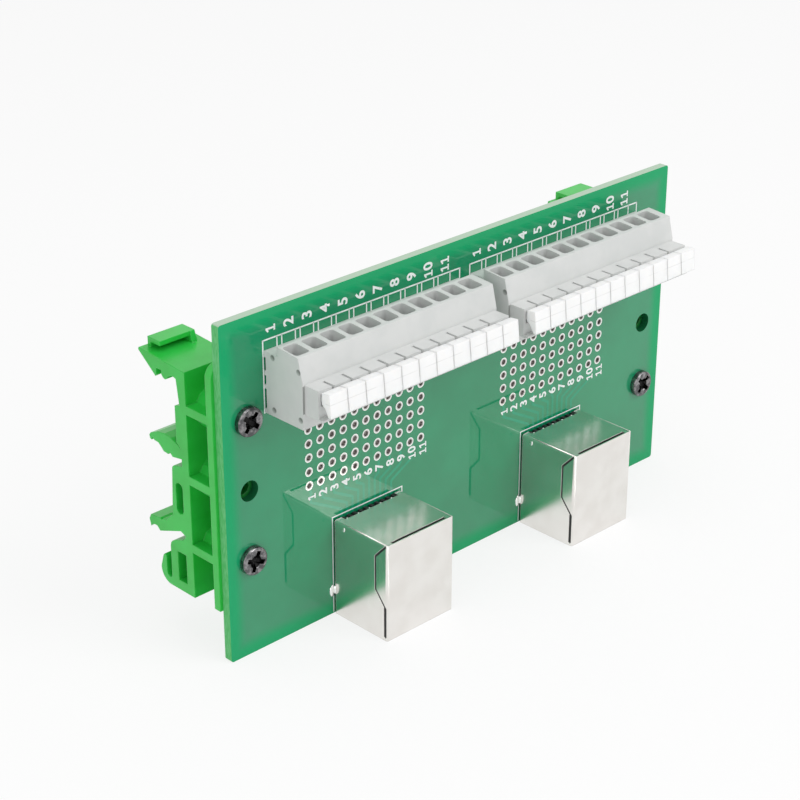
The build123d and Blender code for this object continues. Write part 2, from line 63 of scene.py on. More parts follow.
# Board
FACE_Y = -14.0
BACK_Y = -12.4
BOARD_Z = -0.6
BOARD_HALF_X = 53.1
BOARD_HALF_Z = 29.85
TOP_EDGE_Z = 28.0
SIDES = (("left", -22.86), ("right", 22.86))
SCREW_X = 48.1
SCREW_Z = 12.4

# Field of plated holes
PAD_PITCH = 2.54
PAD_COLUMNS = 11
PAD_ROWS = 5
PAD_LOW_Z = -4.3

# Lever clamps; the wire entries stand a little to the left of their levers
CLAMP_PITCH = 3.81
CLAMP_COUNT = 11
CLAMP_MIDDLE = (CLAMP_COUNT - 1) / 2
CELL_SHIFT = 0.6
CELLS = [CLAMP_PITCH * (place - CLAMP_MIDDLE) - CELL_SHIFT for place in range(CLAMP_COUNT)]
SLOT_SHIFT = 1.705
SLOT_WIDTH = 0.48
PIN_Z = 13.9
BLOCK_HALF = 21.405
ENTRY_OUT = 5.5
ENTRY_TOP = 24.1
ENTRY_SIZE = (2.84, 3.54, 3.9)
ENTRY_CORNER = 0.6
LEDGE_OUT = 12.05
LEDGE_TOP = 19.45
LEDGE_END_STEP = 0.4
LEVER_FRONT_OUT = 13.4
LEVER_CREASE_Z = 17.85
# Painted shade of the dimples in the housing's ends: how far from the board's face, and how high
DIMPLES = ((2.0, 21.9), (8.0, 21.4), (2.1, 13.0), (8.3, 13.4))

# Jacks
JACK_TOP = -12.45
JACK_BOTTOM = -30.45
JACK_SIDE = 7.65
JACK_PINS = 10
JACK_PIN_PITCH = 1.27
JACK_PLACES = [JACK_PIN_PITCH * (place - (JACK_PINS - 1) / 2) for place in range(JACK_PINS)]
JACK_PIN_ROW = JACK_TOP - 0.7
JACK_ROW_STEP = 2.54
LEG_Z = JACK_BOTTOM + 4.4


# Finishes


class Value:
    """A number that varies over a surface, so that shader maths reads as plain expressions."""

    def __init__(self, finish, socket):
        self.finish = finish
        self.socket = socket

    def _math(self, operation, first, second=0.0):
        node = self.finish.node("ShaderNodeMath", {"operation": operation}, {0: first, 1: second})
        return Value(self.finish, node.outputs[0])

    def __add__(self, other):
        return self._math("ADD", self, other)

    def __radd__(self, other):
        return self._math("ADD", other, self)

    def __sub__(self, other):
        return self._math("SUBTRACT", self, other)

    def __rsub__(self, other):
        return self._math("SUBTRACT", other, self)

    def __mul__(self, other):
        return self._math("MULTIPLY", self, other)

    def __rmul__(self, other):
        return self._math("MULTIPLY", other, self)

    def __pow__(self, other):
        return self._math("POWER", self, other)

    def __lt__(self, other):
        return self._math("LESS_THAN", self, other)

    def __gt__(self, other):
        return self._math("GREATER_THAN", self, other)

    def __abs__(self):
        return self._math("ABSOLUTE", self)

    def either(self, other):
        return self._math("MAXIMUM", self, other)

    def both(self, other):
        return self._math("MINIMUM", self, other)

    def ramp(self, low, high):
        """0 at low, 1 at high, smooth between."""
        node = self.finish.node(
            "ShaderNodeMapRange",
            {"interpolation_type": "SMOOTHSTEP", "clamp": True},
            {"Value": self, "From Min": low, "From Max": high},
        )
        return Value(self.finish, node.outputs["Result"])


class Finish:
    """One material: a Principled shader and the nodes that vary it."""

    def __init__(self, name, **settings):
        self.material = bpy.data.materials.new(name)
        self.material.use_nodes = True
        self.nodes = self.material.node_tree.nodes
        self.links = self.material.node_tree.links
        self.shader = self.nodes["Principled BSDF"]
        for socket, value in settings.items():
            self.set(socket.replace("_", " "), value)
        self.place = self.node("ShaderNodeTexCoord", {}, {}).outputs["Object"]

    def node(self, kind, settings, sockets):
        node = self.nodes.new(kind)
        for key, value in settings.items():
            setattr(node, key, value)
        for key, value in sockets.items():
            self._feed(node.inputs[key], value)
        return node

    def _feed(self, socket, value):
        if isinstance(value, Value):
            self.links.new(value.socket, socket)
        elif isinstance(value, bpy.types.NodeSocket):
            self.links.new(value, socket)
        elif isinstance(value, tuple) and len(value) == 3 and socket.type == "RGBA":
            socket.default_value = (*value, 1.0)
        else:
            socket.default_value = value

    def set(self, socket, value):
        self._feed(self.shader.inputs[socket], value)

    def colour(self, factor, first, second):
        """Base colour from first to second as the factor goes from 0 to 1."""
        self.set("Base Color", self.mix(factor, first, second))

    def split(self, vector):
        """X, Y and Z of a vector."""
        node = self.node("ShaderNodeSeparateXYZ", {}, {0: vector})
        return [Value(self, node.outputs[axis]) for axis in "XYZ"]

    def places(self):
        return [axis * 1000.0 for axis in self.split(self.place)]

    def normals(self):
        return self.split(self.node("ShaderNodeNewGeometry", {}, {}).outputs["True Normal"])

    def noise(self, size_mm, detail=3.0, stretch=(1.0, 1.0, 1.0)):
        """Cloudy value about 0.5, with blotches of this size."""
        spread = self.node("ShaderNodeMapping", {}, {"Vector": self.place, "Scale": stretch})
        node = self.node(
            "ShaderNodeTexNoise",
            {},
            {"Vector": spread.outputs[0], "Scale": 1000.0 / size_mm, "Detail": detail},
        )
        return Value(self, node.outputs["Fac"])

    def mix(self, factor, first, second):
        """Colour that goes from first to second as the factor goes from 0 to 1."""
        node = self.node("ShaderNodeMix", {"data_type": "RGBA"}, {"Factor": factor})
        self._feed(node.inputs[6], first)
        self._feed(node.inputs[7], second)
        return node.outputs[2]

    def relief(self, height, distance_mm, strength=1.0, edge_mm=0.0):
        """Bump from a height, over edges rounded by edge_mm."""
        sockets = {"Height": height, "Distance": distance_mm * MM, "Strength": strength}
        if edge_mm:
            sockets["Normal"] = self.round_edges(edge_mm)
        self.set("Normal", self.node("ShaderNodeBump", {}, sockets).outputs[0])

    def round_edges(self, radius_mm):
        return self.node("ShaderNodeBevel", {"samples": 6}, {"Radius": radius_mm * MM}).outputs[0]


def reach(across, up):
    """Distance from an axis, from the two distances across it."""
    return (across * across + up * up) ** 0.5


def solder_mask():
    """Glossy green lacquer over copper, brighter along the border; edges show the laminate."""
    finish = Finish("solder_mask", Specular_IOR_Level=0.12, Coat_IOR=1.6, Coat_Roughness=0.03)
    x, _, z = finish.places()
    _, facing, upward = finish.normals()
    # Painted highlight: the board's upward-facing top edge is painted paler than its side edges
    top_edge_highlight = abs(upward).ramp(0.5, 0.8) * (z > TOP_EDGE_Z)
    border_x = BOARD_HALF_X - abs(x)
    border_z = BOARD_HALF_Z - abs(z - BOARD_Z)
    border = 1.0 - border_x.both(border_z).ramp(1.0, 3.7)
    cloud = finish.noise(9.0)
    copper = finish.mix(cloud.ramp(0.3, 0.7), (0.002, 0.255, 0.105), (0.003, 0.285, 0.12))
    lacquer = finish.mix(border, copper, (0.001, 0.37, 0.135))
    grain = finish.noise(1.2, stretch=(1.0, 6.0, 1.0)).ramp(0.35, 0.65)
    laminate = finish.mix(grain, (0.09, 0.48, 0.14), (0.16, 0.56, 0.22))
    laminate = finish.mix(top_edge_highlight, laminate, (0.48, 0.63, 0.49))
    # Painted shade in the two spare holes
    spare_hole_shade = reach(abs(x) - SCREW_X, z - BOARD_Z) < 2.6
    laminate = finish.mix(spare_hole_shade, laminate, (0.008, 0.13, 0.045))
    on_face = abs(facing).ramp(0.5, 0.8)
    finish.colour(on_face, laminate, lacquer)
    finish.set("Roughness", 0.45 - 0.1 * on_face)
    finish.set("Coat Weight", on_face * (1.0 - 0.75 * border))
    finish.relief(finish.noise(14.0, detail=1.0), 0.02, strength=0.25)
    return finish.material


def trace_mask():
    """The same lacquer where it runs over raised copper: lighter and a little bluer."""
    finish = Finish("trace_mask", Roughness=0.05, IOR=1.62)
    finish.colour(finish.noise(3.0), (0.008, 0.32, 0.165), (0.014, 0.37, 0.195))
    return finish.material


def housing_grey():
    """Light grey moulding with a fine satin grain, and painted shade for small locating dimples in
    its ends and for the seams by the ledge.
    """
    finish = Finish("housing_grey", IOR=1.5, Subsurface_Weight=0.06, Subsurface_Scale=0.0012)
    finish.shader.inputs["Subsurface Radius"].default_value = (1.0, 0.95, 0.9)
    x, y, z = finish.places()
    ends = abs(finish.normals()[0]).ramp(0.85, 0.95)
    # Painted shade of round dimples, darker toward their upper edge
    painted_dimple = None
    shade = None
    for distance, height in DIMPLES:
        across = y - (FACE_Y - distance)
        up = z - height
        spot = 1.0 - reach(across, up).ramp(0.42, 0.58)
        slope = (up - across * 0.6 + 0.45) * spot
        painted_dimple = spot if painted_dimple is None else painted_dimple.either(spot)
        shade = slope if shade is None else shade.either(slope)
    cloud = finish.noise(5.0)
    plastic = finish.mix(cloud.ramp(0.35, 0.65), (0.645, 0.66, 0.65), (0.685, 0.695, 0.685))
    # Painted shade in the seams where the ledge's ends step back from the housing
    seam = None
    for _, centre in SIDES:
        for end in (centre - BLOCK_HALF, centre + BLOCK_HALF - LEDGE_END_STEP):
            step = (x > end) * (x < end + LEDGE_END_STEP)
            seam = step if seam is None else seam.either(step)
    seam = seam * (1.0 - ends) * (y < FACE_Y - 8.5) * (z > 14.6) * (z < 19.3)
    # Painted shade of the dimples and the seams, darkening the grey toward a dark grey
    marks = (painted_dimple * ends * (0.35 + shade)).both(1.0).either(seam * 0.75)
    finish.colour(marks, plastic, (0.2, 0.215, 0.2))
    finish.set("Roughness", 0.38 + 0.12 * cloud)
    finish.relief(finish.noise(0.16, detail=2.0), 0.006, strength=0.4, edge_mm=0.16)
    return finish.material


def lever_white():
    """Bright white moulding, a touch translucent."""
    finish = Finish("lever_white", IOR=1.5, Subsurface_Weight=0.4, Subsurface_Scale=0.0015)
    finish.shader.inputs["Subsurface Radius"].default_value = (1.0, 0.95, 0.88)
    cloud = finish.noise(3.0)
    _, y, z = finish.places()
    # Painted shade along a crease across the front, a little above the middle
    line = 1.0 - abs(z - LEVER_CREASE_Z).ramp(0.02, 0.12)
    line = line * (y < FACE_Y - LEVER_FRONT_OUT) * cloud.ramp(0.3, 0.6)
    white = finish.mix(cloud.ramp(0.3, 0.7), (0.955, 0.955, 0.95), (0.98, 0.98, 0.975))
    finish.colour(line, white, (0.84, 0.84, 0.83))
    finish.set("Roughness", 0.3 + 0.1 * cloud)
    finish.relief(finish.noise(0.2, detail=2.0), 0.005, strength=0.3, edge_mm=0.18)
    return finish.material


def foot_green():
    """Leaf-green nylon with a soft gloss, a touch translucent."""
    finish = Finish("foot_green", IOR=1.53, Subsurface_Weight=0.2, Subsurface_Scale=0.0016)
    finish.shader.inputs["Subsurface Radius"].default_value = (0.3, 1.0, 0.35)
    cloud = finish.noise(6.0)
    x, y, z = finish.places()
    # Shade behind the board's spare hole
    shaded = (reach(abs(x) - SCREW_X, z - BOARD_Z) < 2.2) * (y < BACK_Y + 1.5)
    nylon = finish.mix(cloud.ramp(0.3, 0.7), (0.02, 0.5, 0.05), (0.03, 0.58, 0.075))
    finish.colour(0.75 * shaded, nylon, (0.003, 0.09, 0.02))
    finish.set("Roughness", 0.24 + 0.12 * cloud)
    finish.relief(finish.noise(0.35, detail=2.0), 0.012, strength=0.35, edge_mm=0.22)
    return finish.material


def shield_nickel():
    """Nickel-plated sheet with faint rolling lines and cloudy handling marks."""
    finish = Finish("shield_nickel", Metallic=1.0)
    lines = finish.noise(0.5, detail=4.0, stretch=(0.06, 1.0, 1.0))
    cloud = finish.noise(4.0)
    finish.colour(cloud.ramp(0.3, 0.7), (0.8, 0.775, 0.74), (0.85, 0.83, 0.8))
    finish.set("Roughness", 0.17 + 0.04 * cloud + 0.04 * lines)
    finish.relief(finish.noise(9.0, detail=1.0) + 0.02 * lines, 0.04, strength=0.15, edge_mm=0.12)
    return finish.material


def tinned_pad():
    """Bright tin on the rings, solder and lances."""
    finish = Finish("tinned_pad", Metallic=1.0)
    cloud = finish.noise(0.5)
    finish.colour(cloud.ramp(0.3, 0.7), (0.86, 0.88, 0.86), (0.95, 0.96, 0.94))
    finish.set("Roughness", 0.2 + 0.15 * cloud)
    finish.relief(cloud, 0.02, strength=0.35)
    return finish.material


def dull_tin():
    """Tin down in the plated holes, rougher, and darker with painted shade."""
    finish = Finish("dull_tin", Metallic=1.0)
    cloud = finish.noise(0.4)
    finish.colour(cloud.ramp(0.35, 0.65), (0.34, 0.31, 0.3), (0.6, 0.57, 0.55))
    finish.set("Roughness", 0.3 + 0.2 * cloud)
    return finish.material


def spring_steel():
    """Bright spring strip with fine lines from rolling."""
    finish = Finish("spring_steel", Metallic=1.0)
    lines = finish.noise(0.3, stretch=(1.0, 1.0, 0.1))
    finish.colour(lines, (0.42, 0.42, 0.43), (0.6, 0.6, 0.6))
    finish.set("Roughness", 0.25 + 0.15 * lines)
    return finish.material


def tinned_copper():
    """Tinned copper with cloudy patches."""
    finish = Finish("tinned_copper", Metallic=1.0)
    cloud = finish.noise(0.8)
    finish.colour(cloud.ramp(0.35, 0.7), (0.7, 0.69, 0.66), (0.82, 0.81, 0.79))
    finish.set("Roughness", 0.22 + 0.2 * cloud)
    return finish.material


def contact_gold():
    """Gold-plated contact wire."""
    finish = Finish("contact_gold", Metallic=1.0)
    cloud = finish.noise(1.0)
    finish.colour(cloud.ramp(0.3, 0.7), (0.83, 0.56, 0.2), (0.93, 0.68, 0.3))
    finish.set("Roughness", 0.15 + 0.12 * cloud)
    return finish.material


def jack_black():
    """Black moulding with a fine grain."""
    finish = Finish("jack_black", IOR=1.5)
    cloud = finish.noise(2.0)
    finish.colour(cloud, (0.012, 0.012, 0.013), (0.028, 0.028, 0.03))
    finish.set("Roughness", 0.4 + 0.2 * cloud)
    finish.relief(finish.noise(0.15, detail=2.0), 0.008, strength=0.4, edge_mm=0.1)
    return finish.material


def screw_steel():
    """Blackened plated steel with brighter blotches, and painted shade down in the cross recess.
    """
    finish = Finish("screw_steel", Metallic=1.0)
    x, y, z = finish.places()
    axis = reach(abs(x) - SCREW_X, abs(z - BOARD_Z) - SCREW_Z)
    # Painted shade, near black, down in the cross recess
    recess = (axis < 2.0) * (y > FACE_Y - 0.98)
    cloud = finish.noise(0.7)
    steel = finish.mix(cloud.ramp(0.35, 0.75), (0.1, 0.1, 0.104), (0.34, 0.33, 0.335))
    finish.colour(recess * 0.93, steel, (0.004, 0.004, 0.004))
    finish.set("Roughness", 0.16 + 0.2 * cloud)
    finish.relief(finish.noise(0.25, detail=3.0), 0.015, strength=0.3)
    return finish.material


def print_ink():
    """White legend ink, slightly uneven where it is thin."""
    finish = Finish("print_ink", Roughness=0.35)
    cloud = finish.noise(0.6)
    finish.colour(cloud.ramp(0.3, 0.6), (0.8, 0.88, 0.85), (0.92, 0.95, 0.94))
    return finish.material


FINISHES = {
    "board": solder_mask(),
    "housing": housing_grey(),
    "lever": lever_white(),
    "contact_bar": tinned_copper(),
    "spring": spring_steel(),
    "shield": shield_nickel(),
    "jack_body": jack_black(),
    "jack_contact": contact_gold(),
    "foot": foot_green(),
    "screw": screw_steel(),
}
INK = print_ink()
TIN = tinned_pad()
SHADED_HOLE_TIN = dull_tin()
TRACE = trace_mask()

for part in frame["record"]["subparts"]:
    solid = frame["nodes"][part["node"]]
    for slot in solid.material_slots:
        slot.material = FINISHES[part["material_slot"]]


# Making pieces


def clear_selection():
    bpy.ops.object.select_all(action="DESELECT")


def place_of(x, distance, z):
    """Point this far in front of the board's face, in metres."""
    return Vector((x * MM, (FACE_Y - distance) * MM, z * MM))


def join(objects, name):
    """All these pieces as one, under this name."""
    clear_selection()
    for piece in objects:
        piece.select_set(True)
    bpy.context.view_layer.objects.active = objects[0]
    bpy.ops.object.join()
    joined = bpy.context.view_layer.objects.active
    joined.name = name
    joined.data.name = name
    return joined


def select_only(piece):
    clear_selection()
    piece.select_set(True)
    bpy.context.view_layer.objects.active = piece


def apply_place(piece):
    select_only(piece)
    bpy.ops.object.transform_apply(location=True, rotation=True, scale=True)


def apply_modifiers(piece):
    select_only(piece)
    for modifier in list(piece.modifiers):
        bpy.ops.object.modifier_apply(modifier=modifier.name)


def cut(piece, tools):
    """Cut these tools out of a piece and drop them."""
    for tool in tools:
        opening = piece.modifiers.new("opening", "BOOLEAN")
        opening.operation = "DIFFERENCE"
        opening.object = tool
        opening.solver = "EXACT"
    apply_modifiers(piece)
    for tool in tools:
        bpy.data.objects.remove(tool)


def bevel(piece, width, segments, angle=30.0):
    """Bevel the edges sharper than this angle."""
    rounding = piece.modifiers.new("rounding", "BEVEL")
    rounding.width = width * MM
    rounding.segments = segments
    rounding.limit_method = "ANGLE"
    rounding.angle_limit = math.radians(angle)
    apply_modifiers(piece)


def hand_over(piece, material):
    """Give a finished piece its material and the body that it rides on."""
    apply_place(piece)
    piece.data.materials.clear()
    piece.data.materials.append(material)
    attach(piece, "base")
    return piece


def copy_to(piece, places):
    """Copies of a piece at these places, each with its own mesh; the last is the piece itself."""
    copies = []
    for index, place in enumerate(places):
        twin = piece if index == len(places) - 1 else piece.copy()
        if twin is not piece:
            twin.data = piece.data.copy()
            bpy.context.collection.objects.link(twin)
        twin.location = place
        copies.append(twin)
    return copies


def bead(spot, size, turn=(0.0, 0.0, 0.0), segments=16, rings=10):
    """Smooth oval bead with these half sizes in millimetres."""
    clear_selection()
    bpy.ops.mesh.primitive_uv_sphere_add(segments=segments, ring_count=rings, radius=1.0)
    piece = bpy.context.active_object
    piece.scale = Vector(size) * MM
    piece.location = spot
    piece.rotation_euler = turn
    apply_place(piece)
    bpy.ops.object.shade_smooth()
    return piece


def strip(x0, z0, x1, z1, width, proud=0.02):
    """A flat line on the board's face from one point to another, all in millimetres."""
    start, end = place_of(x0, proud, z0), place_of(x1, proud, z1)
    middle, run = (start + end) / 2, end - start
    clear_selection()
    bpy.ops.mesh.primitive_plane_add(size=1)
    piece = bpy.context.active_object
    along = run.normalized()
    across = along.cross(Vector((0, -1, 0)))
    piece.matrix_world = Matrix(
        (
            (along.x * run.length, -across.x * width * MM, 0, middle.x),
            (along.y * run.length, -across.y * width * MM, -1, middle.y),
            (along.z * run.length, -across.z * width * MM, 0, middle.z),
            (0, 0, 0, 1),
        )
    )
    apply_place(piece)
    return piece


def figure_one(x, z, height):
    """A printed 1 with its flag and foot, read upwards."""
    flag = 0.27 * height
    width = 0.17 * height
    top, foot = x - height / 2, x + height / 2
    line = foot - width / 2
    return [
        strip(top, z, foot, z, width, proud=0.024),
        strip(top + width / 3, z, top + flag, z - flag, width, proud=0.026),
        strip(line, z - flag, line, z + flag, width, proud=0.028),
    ]


def figure(words, x, z, height):
    """A printed figure on the board's face, read upwards."""
    clear_selection()
    bpy.ops.object.text_add()
    piece = bpy.context.active_object
    piece.data.body = words
    piece.data.align_x = "CENTER"
    piece.data.align_y = "CENTER"
    piece.data.size = height * MM / 0.69
    piece.data.offset = 0.04 * height * MM
    piece.data.resolution_u = 4
    bpy.ops.object.convert(target="MESH")
    piece = bpy.context.active_object
    spot = place_of(x, 0.025, z)
    piece.matrix_world = Matrix(
        ((0, -1, 0, spot.x), (0, 0, -1, spot.y), (1, 0, 0, spot.z), (0, 0, 0, 1))
    )
    apply_place(piece)
    return [piece]


def number(value, x, z, height):
    """A printed number of one or two figures, read upwards."""
    words = str(value)
    pieces = []
    for place, word in enumerate(words):
        along = z + (place - (len(words) - 1) / 2) * 0.72 * height
        pieces += figure_one(x, along, height) if word == "1" else figure(word, x, along, height)
    return pieces


def plated_ring(outer, inner, length, name):
    """Tube on the Y axis through the origin, all sizes in millimetres."""
    clear_selection()
    bpy.ops.mesh.primitive_cylinder_add(
        vertices=20,
        radius=outer * MM,
        depth=length * MM,
        rotation=(math.pi / 2, 0, 0),
        end_fill_type="NGON",
    )
    piece = bpy.context.active_object
    piece.name = name
    apply_place(piece)
    bpy.ops.object.mode_set(mode="EDIT")
    bpy.ops.mesh.select_all(action="DESELECT")
    bpy.ops.object.mode_set(mode="OBJECT")
    for face in piece.data.polygons:
        face.select = abs(face.normal.y) > 0.9
    bpy.ops.object.mode_set(mode="EDIT")
    bpy.ops.mesh.inset(thickness=(outer - inner) * MM, use_individual=True)
    bpy.ops.mesh.bridge_edge_loops()
    bpy.ops.mesh.select_all(action="SELECT")
    bpy.ops.mesh.normals_make_consistent(inside=False)
    bpy.ops.object.mode_set(mode="OBJECT")
    return piece


# Housings and shields, as copies of their solids with finer openings


def box(x, distance, z, size, corner=0.0, turn=0.0):
    """Box with its upright edges rounded, turned about X, all in millimetres."""
    clear_selection()
    bpy.ops.mesh.primitive_cube_add(
        size=1, location=place_of(x, distance, z), rotation=(turn, 0, 0)
    )
    tool = bpy.context.active_object
    tool.scale = Vector(size) * MM
    apply_place(tool)
    if corner:
        bpy.ops.object.mode_set(mode="EDIT")
        bpy.ops.mesh.select_mode(type="EDGE")
        bpy.ops.mesh.select_all(action="DESELECT")
        bpy.ops.object.mode_set(mode="OBJECT")
        for edge in tool.data.edges:
            low, high = (tool.data.vertices[end].co.z for end in edge.vertices)
            edge.select = abs(low - high) > 0.5 * MM
        bpy.ops.object.mode_set(mode="EDIT")
        bpy.ops.mesh.bevel(offset=corner * MM, segments=4, affect="EDGES")
        bpy.ops.object.mode_set(mode="OBJECT")
    return tool


def slit_tool(x, start, end, width):
    """Slit to cut through a side wall, from one (distance, z) to another, all in millimetres."""
    run, rise = start[0] - end[0], start[1] - end[1]
    middle = ((start[0] + end[0]) / 2, (start[1] + end[1]) / 2)
    length = math.hypot(rise, run) + width * 0.6
    return box(x, *middle, (SIDE_CUT, width, length), turn=math.atan2(run, rise))


def cut_copy(node, name, tools, slot):
    """A copy of a solid with these tools cut out of it, which stands for the solid."""
    select_only(frame["nodes"][node])
    bpy.ops.object.duplicate()
    piece = bpy.context.view_layer.objects.active
    bpy.ops.object.parent_clear(type="CLEAR_KEEP_TRANSFORM")
    piece.name = name
    apply_place(piece)
    bpy.ops.object.mode_set(mode="EDIT")
    bpy.ops.mesh.select_all(action="SELECT")
    bpy.ops.mesh.remove_doubles(threshold=0.002 * MM)
    bpy.ops.object.mode_set(mode="OBJECT")
    cut(piece, tools)
    bpy.ops.object.mode_set(mode="EDIT")
    bpy.ops.mesh.select_all(action="SELECT")
    bpy.ops.mesh.remove_doubles(threshold=0.001 * MM)
    bpy.ops.mesh.dissolve_degenerate(threshold=0.001 * MM)
    bpy.ops.object.mode_set(mode="OBJECT")
    hand_over(piece, FINISHES[slot])
    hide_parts(node)


# The shield's slit behind its front plate, and the seam round the plate's side flap
SIDE_CUT = 0.8
SLIT_OUT = 12.47
SLIT_WIDTH = 0.56
FLAP_WIDTH = 0.37
FLAP = ((12.53, -12.72), (10.2, -15.25), (10.2, -21.45), (12.5, -24.2))

# The comb behind the jack, and the lances on its sides
COMB_OUT = 0.75
COMB_DEPTH = 1.2

for side, centre in SIDES:
    entries = [
        box(centre + x, ENTRY_OUT, ENTRY_TOP - 0.9, ENTRY_SIZE, corner=ENTRY_CORNER)
        for x in CELLS
    ]
    gaps = [centre + x + SLOT_SHIFT for x in CELLS[:-1]]
    slots = [box(x, LEDGE_OUT - 1.05, LEDGE_TOP, (SLOT_WIDTH, 2.5, 1.5)) for x in gaps]
    drops = [box(x, LEDGE_OUT, LEDGE_TOP - 0.85, (SLOT_WIDTH, 1.5, 2.5)) for x in gaps]
    openings = [join(entries, "entries"), join(slots, "slots"), join(drops, "drops")]
    cut_copy(f"terminal_block_{side}", f"housing_{side}", openings, "housing")
    seams = [box(centre, SLIT_OUT, JACK_TOP, (12.2, SLIT_WIDTH, 1.2))]
    for x in (centre - JACK_SIDE, centre + JACK_SIDE):
        seams.append(box(x, SLIT_OUT, -27.0, (SIDE_CUT, SLIT_WIDTH, 5.6)))
        seams += [slit_tool(x, start, end, FLAP_WIDTH) for start, end in zip(FLAP, FLAP[1:])]
    cut_copy(f"jack_shield_{side}", f"shield_{side}", seams, "shield")

    # Black comb between the shield's rear notch and the board, with the pins' shoulders in it
    pins = [centre + x for x in JACK_PLACES]
    comb = [box(centre, COMB_OUT, JACK_TOP - 0.95, (12.1, COMB_DEPTH, 0.9))]
    comb += [box(x, COMB_OUT, JACK_TOP - 0.4, (0.62, COMB_DEPTH, 0.5)) for x in pins]
    comb = join(comb, f"pin_comb_{side}")
    bevel(comb, 0.08, 2)
    hand_over(comb, FINISHES["jack_body"])
    shoulders = [
        bead(place_of(x + 0.2, 1.2, JACK_TOP - 0.12), (0.2, 0.16, 0.13), segments=12, rings=8)
        for x in pins[::2]
    ]
    hand_over(join(shoulders, f"pin_shoulders_{side}"), TIN)

    # Half-round lances pressed out of the shield's sides
    lances = [
        bead(place_of(centre + x, 2.6, JACK_TOP - 1.0), (0.16, 0.32, 0.5), turn=(0.35, 0, 0))
        for x in (-7.64, 7.64)
    ]
    hand_over(join(lances, f"shield_lances_{side}"), TIN)


# Printed board

LEGEND_LEFT = -21.6
LEGEND_RIGHT = 21.7
LEGEND_TOP = 24.18
LEGEND_FOOT = 11.8
TICK_FOOT = 22.3
TICK_WIDTH = 0.25
SIDE_WIDTH = 0.26
CLAMP_NUMBER_Z = 25.9
PAD_NUMBER_Z = -6.5
JACK_LINE_WIDTH = 0.24
RUN_WIDTH = 0.5

middle_y = (FACE_Y + BACK_Y) / 2
for side, centre in SIDES:
    columns = [
        centre + PAD_PITCH * (column - (PAD_COLUMNS - 1) / 2) for column in range(PAD_COLUMNS)
    ]
    spots = [
        Vector((x * MM, middle_y * MM, (PAD_LOW_Z + PAD_PITCH * row) * MM))
        for x in columns
        for row in range(PAD_ROWS)
    ]
    ring = plated_ring(0.82, 0.6, 1.66, f"pad_ring_{side}")
    barrel = plated_ring(0.64, 0.43, 1.63, f"pad_barrel_{side}")
    hand_over(join(copy_to(ring, spots), f"patch_rings_{side}"), TIN)
    hand_over(join(copy_to(barrel, spots), f"patch_barrels_{side}"), SHADED_HOLE_TIN)

    # Legend round the clamps, with a pair of ticks between neighbours
    left, right = centre + LEGEND_LEFT, centre + LEGEND_RIGHT
    lines = [strip(left, LEGEND_TOP, right, LEGEND_TOP, 0.27)]
    for x in (left, right):
        lines.append(strip(x, LEGEND_TOP + SIDE_WIDTH / 2, x, LEGEND_FOOT, SIDE_WIDTH))
    ticks = [
        centre - 18.21 + CLAMP_PITCH * gap + tick
        for gap in range(CLAMP_COUNT - 1)
        for tick in (-0.5, 0.5)
    ]
    for x in ticks + [centre + 19.39]:
        lines.append(strip(x, LEGEND_TOP, x, TICK_FOOT, TICK_WIDTH))
    for place in range(CLAMP_COUNT):
        clamp_x = centre + CLAMP_PITCH * place - 19.98
        lines += number(place + 1, clamp_x, CLAMP_NUMBER_Z, 1.95)
        lines += number(place + 1, columns[place] + 0.5, PAD_NUMBER_Z, 1.7)
    # Outline of the jack
    lines.append(strip(centre - 7.68, -12.1, centre + 8.15, -12.1, JACK_LINE_WIDTH))
    for x in (centre - 7.78, centre + 8.25):
        lines.append(strip(x, -11.98, x, -30.2, JACK_LINE_WIDTH))
    hand_over(join(lines, f"legend_{side}"), INK)

    # Copper runs fanning in from the patch field to the jack's pins
    runs = []
    for place in range(JACK_PINS):
        upper = columns[place] + 0.3
        lower = centre + JACK_PLACES[place]
        row = JACK_PIN_ROW - JACK_ROW_STEP * (place % 2)
        bend = -7.5 - 0.55 * abs(upper - lower)
        runs.append(strip(upper, -5.2, upper, -7.62, RUN_WIDTH, proud=0.009))
        runs.append(strip(upper, -7.5, lower, bend, RUN_WIDTH, proud=0.012))
        runs.append(strip(lower, bend + 0.12, lower, row, RUN_WIDTH, proud=0.015))
    hand_over(join(runs, f"copper_runs_{side}"), TRACE)


# Solder


def solder_joint(radius, height, name):
    """A small concave cone of solder, standing towards +Y on the axis through the origin."""
    clear_selection()
    bpy.ops.mesh.primitive_cone_add(
        vertices=12,
        radius1=radius * MM,
        radius2=radius * 0.45 * MM,
        depth=height * MM,
        rotation=(-math.pi / 2, 0, 0),
        location=(0, height / 2 * MM, 0),
    )
    piece = bpy.context.active_object
    piece.name = name
    apply_place(piece)
    bpy.ops.object.mode_set(mode="EDIT")
    bpy.ops.mesh.select_all(action="SELECT")
    bpy.ops.mesh.subdivide(number_cuts=2)
    bpy.ops.object.mode_set(mode="OBJECT")
    for vertex in piece.data.vertices:
        share = vertex.co.y / (height * MM)
        pinch = 1.0 - 0.9 * share * (1.0 - share)
        vertex.co.x *= pinch
        vertex.co.z *= pinch
    bpy.ops.object.shade_smooth()
    return piece


def on_back(x, z):
    return Vector((x * MM, BACK_Y * MM, z * MM))


# Lobes of the solder at a leg: aside, distance, height over the jack's foot, half sizes
LOBES = (
    (8.3, 0.05, 4.35, (0.4, 0.3, 0.95)),
    (7.5, 0.1, 4.55, (0.36, 0.42, 0.8)),
    (7.9, 0.0, 4.5, (0.5, 0.22, 1.1)),
)

